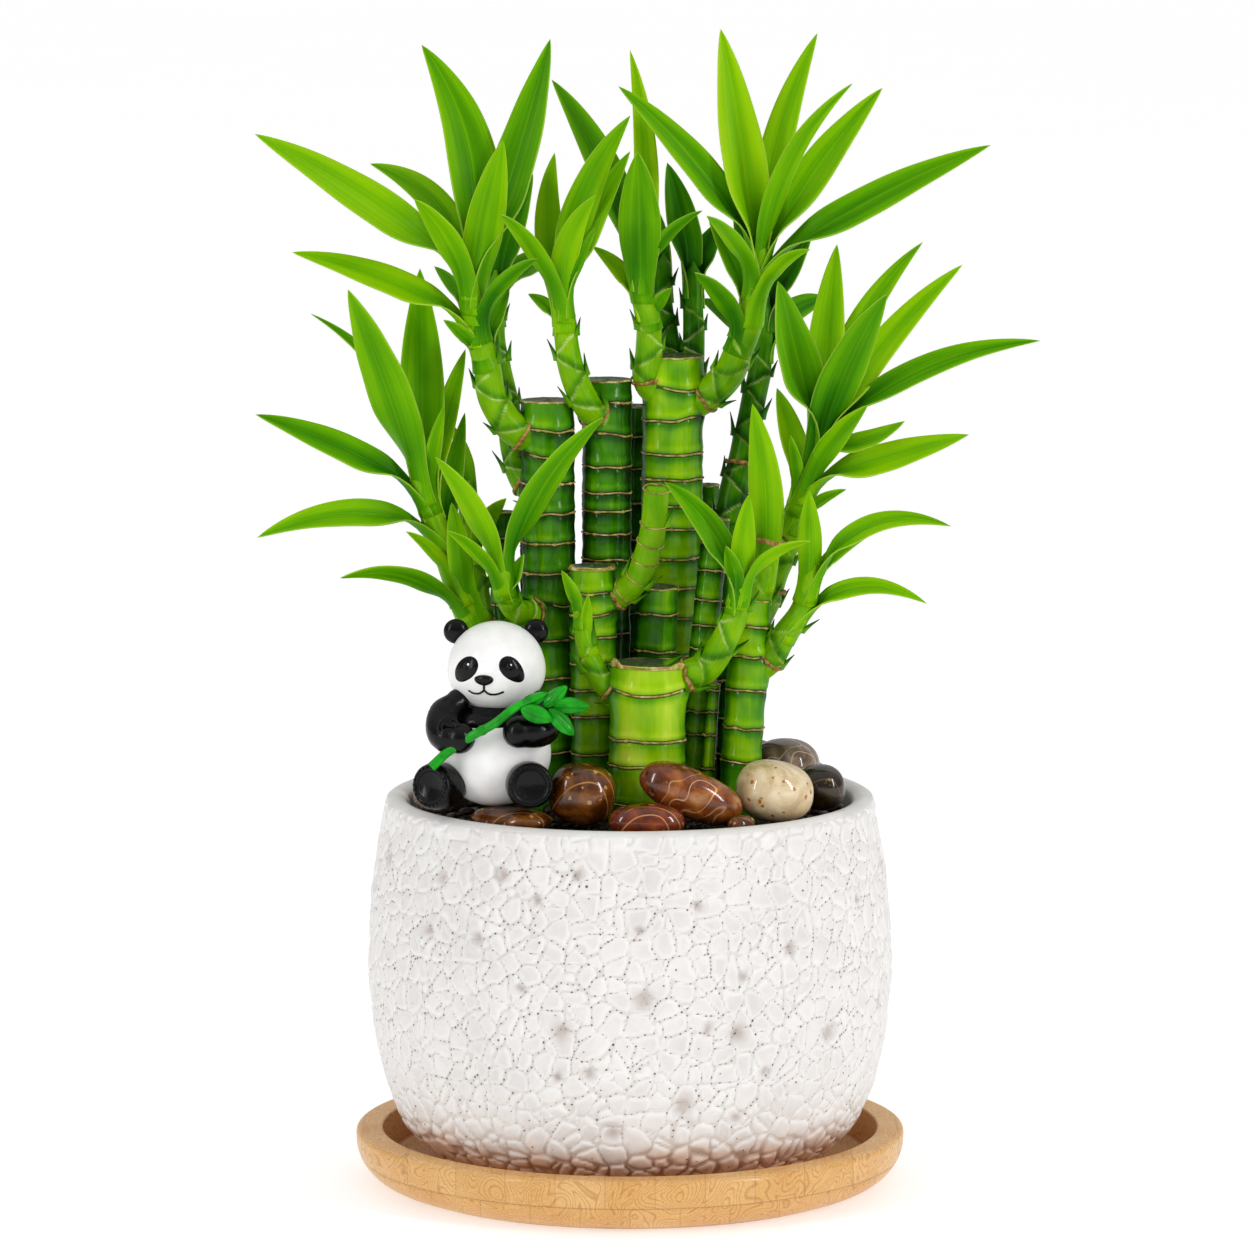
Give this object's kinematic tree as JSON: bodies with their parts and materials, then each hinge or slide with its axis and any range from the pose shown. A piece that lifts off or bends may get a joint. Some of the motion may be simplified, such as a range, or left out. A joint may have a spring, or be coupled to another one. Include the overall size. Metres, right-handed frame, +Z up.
{
  "type": "lucky bamboo plant",
  "caption": "Potted lucky bamboo: upright cut green canes with leafy shoots in a round crackled white pot on a bamboo saucer, dressed with pebbles and a seated panda figurine.",
  "frame": {"origin": "centre of the saucer's flat underside, on the table", "axes": "+Z up along the pot's axis, -Y towards the viewer of the picture (the panda's side), +X to the viewer's right"},
  "size_m": [0.2071, 0.147, 0.3081],
  "materials": {
    "bamboo_wood": "clear satin lacquer on laminated bamboo",
    "crackle_ceramic": "satin white crackle glaze",
    "soil": "damp gravel and soil",
    "plant": "waxy green stem and leaf",
    "brown_stone": "polished",
    "dark_stone": "polished",
    "cream_stone": "polished",
    "grey_stone": "polished, banded",
    "panda_white": "glossy white paint",
    "panda_black": "glossy black paint",
    "sprig_green": "glossy moulded green"
  },
  "bodies": {
    "root": {"saucer": "bamboo_wood", "pot": "crackle_ceramic", "soil": "soil", "cane_front": "plant", "cane_front_left": "plant", "cane_tall_left": "plant", "cane_tall_middle": "plant", "cane_tall_right": "plant", "cane_back": "plant", "cane_middle": "plant", "cane_slim": "plant", "cane_thin": "plant", "cane_back_right": "plant", "cane_right": "plant", "cane_far_right": "plant", "cane_back_left": "plant", "cane_left": "plant", "cane_far_left": "plant", "pebble_front_round": "brown_stone", "pebble_front_flat": "brown_stone", "pebble_front_dark": "brown_stone", "pebble_front_long": "brown_stone", "pebble_front_cream": "cream_stone", "pebble_right_dark": "dark_stone", "pebble_right_striped": "grey_stone", "pebble_front_chip": "brown_stone", "pebble_left_grey": "grey_stone", "pebble_left_brown": "brown_stone", "pebble_back_left_cream": "cream_stone", "pebble_back_left_brown": "brown_stone", "pebble_back_grey": "grey_stone", "pebble_back_cream": "cream_stone", "pebble_back_brown": "brown_stone", "pebble_right_brown": "dark_stone", "panda_body": "panda_white", "panda_arms": "panda_black", "panda_nose": "panda_black", "panda_sprig": "sprig_green", "panda_ear_left": "panda_black", "panda_eye_patch_left": "panda_black", "panda_foot_left": "panda_black", "panda_ear_right": "panda_black", "panda_eye_patch_right": "panda_black", "panda_foot_right": "panda_black"}
  },
  "joints": []
}
